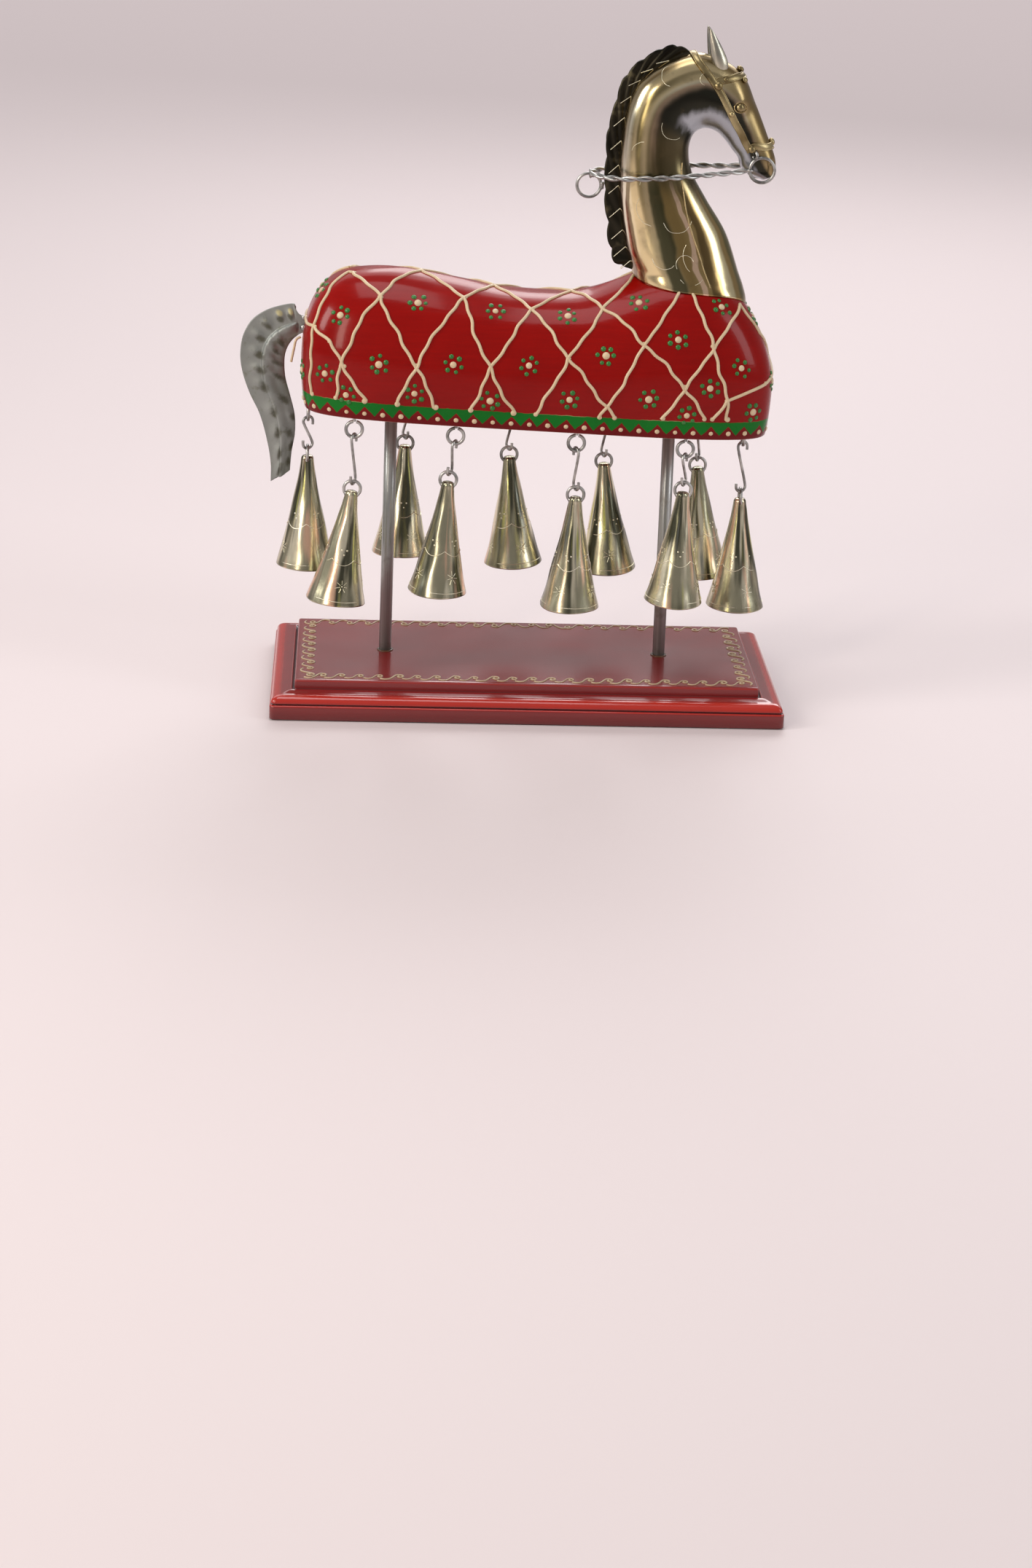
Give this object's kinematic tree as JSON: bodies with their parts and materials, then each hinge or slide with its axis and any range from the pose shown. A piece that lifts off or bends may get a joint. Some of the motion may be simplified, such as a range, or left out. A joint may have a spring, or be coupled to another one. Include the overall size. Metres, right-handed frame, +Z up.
{
  "type": "ornamental horse figure",
  "caption": "Painted loaf-bodied show horse with a hollow brass head, sheet tail, wire reins and a ring of hanging cone bells, on two posts and a moulded stand.",
  "frame": {"origin": "centre of the stand's underside", "axes": "+X towards the horse's head, +Y to its left side, +Z up"},
  "size_m": [0.2458, 0.1106, 0.3048],
  "materials": {
    "red_lacquer": "glossy clear lacquer over red-brown stain",
    "red_paint": "glossy red paint over carved wood",
    "pale_brass": "polished sheet brass",
    "bell_brass": "satin pale brass sheet",
    "bridle_brass": "dull brass strip",
    "dark_sheet": "blackened sheet with bright chased lines",
    "grey_sheet": "dull grey sheet metal",
    "grey_steel": "plain grey steel wire and rod"
  },
  "bodies": {
    "horse": {"stand": "red_lacquer", "rear_post": "grey_steel", "front_post": "grey_steel", "body": "red_paint", "tail": "grey_sheet", "head": "pale_brass", "mane": "dark_sheet", "ear_left": "pale_brass", "ear_right": "pale_brass", "eye_left": "bridle_brass", "eye_right": "bridle_brass", "headstall": "bridle_brass", "browband": "bridle_brass", "noseband": "bridle_brass", "mouth_ring_left": "grey_steel", "mouth_ring_right": "grey_steel", "rein_ring": "grey_steel", "rein_left": "grey_steel", "rein_right": "grey_steel", "screw_eye_a": "grey_steel", "screw_eye_b": "grey_steel", "screw_eye_c": "grey_steel", "screw_eye_d": "grey_steel", "screw_eye_e": "grey_steel", "screw_eye_f": "grey_steel", "screw_eye_g": "grey_steel", "screw_eye_h": "grey_steel", "screw_eye_i": "grey_steel", "screw_eye_j": "grey_steel"},
    "hook_a": {"hook_a": "grey_steel"},
    "bell_a": {"bell_ring_a": "grey_steel", "bell_a": "bell_brass"},
    "hook_b": {"hook_b": "grey_steel"},
    "bell_b": {"bell_ring_b": "grey_steel", "bell_b": "bell_brass"},
    "hook_c": {"hook_c": "grey_steel"},
    "bell_c": {"bell_ring_c": "grey_steel", "bell_c": "bell_brass"},
    "hook_d": {"hook_d": "grey_steel"},
    "bell_d": {"bell_ring_d": "grey_steel", "bell_d": "bell_brass"},
    "hook_e": {"hook_e": "grey_steel"},
    "bell_e": {"bell_ring_e": "grey_steel", "bell_e": "bell_brass"},
    "hook_f": {"hook_f": "grey_steel"},
    "bell_f": {"bell_ring_f": "grey_steel", "bell_f": "bell_brass"},
    "hook_g": {"hook_g": "grey_steel"},
    "bell_g": {"bell_ring_g": "grey_steel", "bell_g": "bell_brass"},
    "hook_h": {"hook_h": "grey_steel"},
    "bell_h": {"bell_ring_h": "grey_steel", "bell_h": "bell_brass"},
    "hook_i": {"hook_i": "grey_steel"},
    "bell_i": {"bell_ring_i": "grey_steel", "bell_i": "bell_brass"},
    "hook_j": {"hook_j": "grey_steel"},
    "bell_j": {"bell_ring_j": "grey_steel", "bell_j": "bell_brass"}
  },
  "joints": [
    {"name": "hook_swing_a", "type": "hinge", "parent": "horse", "child": "hook_a", "pos_m": [-0.1005, 0, 0.12467], "axis": [1, 0, 0], "range_deg": [-3, 8]},
    {"name": "bell_swing_a", "type": "hinge", "parent": "hook_a", "child": "bell_a", "pos_m": [-0.1005, 0, 0.11122], "axis": [0, 1, 0], "range_deg": [-8, 2]},
    {"name": "hook_swing_b", "type": "hinge", "parent": "horse", "child": "hook_b", "pos_m": [-0.0798, -0.0265, 0.12392], "axis": [0, 1, 0], "range_deg": [-8, 4]},
    {"name": "bell_swing_b", "type": "hinge", "parent": "hook_b", "child": "bell_b", "pos_m": [-0.07962, -0.0265, 0.10246], "axis": [1, 0, 0], "range_deg": [-20, 3]},
    {"name": "hook_swing_c", "type": "hinge", "parent": "horse", "child": "hook_c", "pos_m": [-0.0562, 0.028, 0.12307], "axis": [0, 1, 0], "range_deg": [-8, 8]},
    {"name": "bell_swing_c", "type": "hinge", "parent": "hook_c", "child": "bell_c", "pos_m": [-0.05617, 0.028, 0.10962], "axis": [1, 0, 0], "range_deg": [-9, 20]},
    {"name": "hook_swing_d", "type": "hinge", "parent": "horse", "child": "hook_d", "pos_m": [-0.035, -0.028, 0.12231], "axis": [0, 1, 0], "range_deg": [-8, 8]},
    {"name": "bell_swing_d", "type": "hinge", "parent": "hook_d", "child": "bell_d", "pos_m": [-0.03739, -0.028, 0.10805], "axis": [1, 0, 0], "range_deg": [-20, 9]},
    {"name": "hook_swing_e", "type": "hinge", "parent": "horse", "child": "hook_e", "pos_m": [-0.0084, 0.028, 0.12135], "axis": [0, 1, 0], "range_deg": [-8, 8]},
    {"name": "bell_swing_e", "type": "hinge", "parent": "hook_e", "child": "bell_e", "pos_m": [-0.0085, 0.028, 0.1054], "axis": [1, 0, 0], "range_deg": [-9, 20]},
    {"name": "hook_swing_f", "type": "hinge", "parent": "horse", "child": "hook_f", "pos_m": [0.0185, -0.028, 0.12038], "axis": [0, 1, 0], "range_deg": [-8, 8]},
    {"name": "bell_swing_f", "type": "hinge", "parent": "hook_f", "child": "bell_f", "pos_m": [0.0192, -0.028, 0.10245], "axis": [1, 0, 0], "range_deg": [-20, 9]},
    {"name": "hook_swing_g", "type": "hinge", "parent": "horse", "child": "hook_g", "pos_m": [0.0354, 0.028, 0.11978], "axis": [0, 1, 0], "range_deg": [-8, 8]},
    {"name": "bell_swing_g", "type": "hinge", "parent": "hook_g", "child": "bell_g", "pos_m": [0.0353, 0.028, 0.10332], "axis": [1, 0, 0], "range_deg": [-9, 20]},
    {"name": "hook_swing_h", "type": "hinge", "parent": "horse", "child": "hook_h", "pos_m": [0.067, -0.028, 0.11864], "axis": [0, 1, 0], "range_deg": [-8, 8]},
    {"name": "bell_swing_h", "type": "hinge", "parent": "hook_h", "child": "bell_h", "pos_m": [0.06706, -0.028, 0.10569], "axis": [1, 0, 0], "range_deg": [-20, 9]},
    {"name": "hook_swing_i", "type": "hinge", "parent": "horse", "child": "hook_i", "pos_m": [0.0787, 0.0265, 0.11822], "axis": [0, 1, 0], "range_deg": [-4, 8]},
    {"name": "bell_swing_i", "type": "hinge", "parent": "hook_i", "child": "bell_i", "pos_m": [0.0786, 0.0265, 0.10276], "axis": [1, 0, 0], "range_deg": [-3, 20]},
    {"name": "hook_swing_j", "type": "hinge", "parent": "horse", "child": "hook_j", "pos_m": [0.096, 0, 0.11759], "axis": [1, 0, 0], "range_deg": [-8, 2]},
    {"name": "bell_swing_j", "type": "hinge", "parent": "hook_j", "child": "bell_j", "pos_m": [0.096, 0, 0.09564], "axis": [0, 1, 0], "range_deg": [-20, 6]}
  ]
}
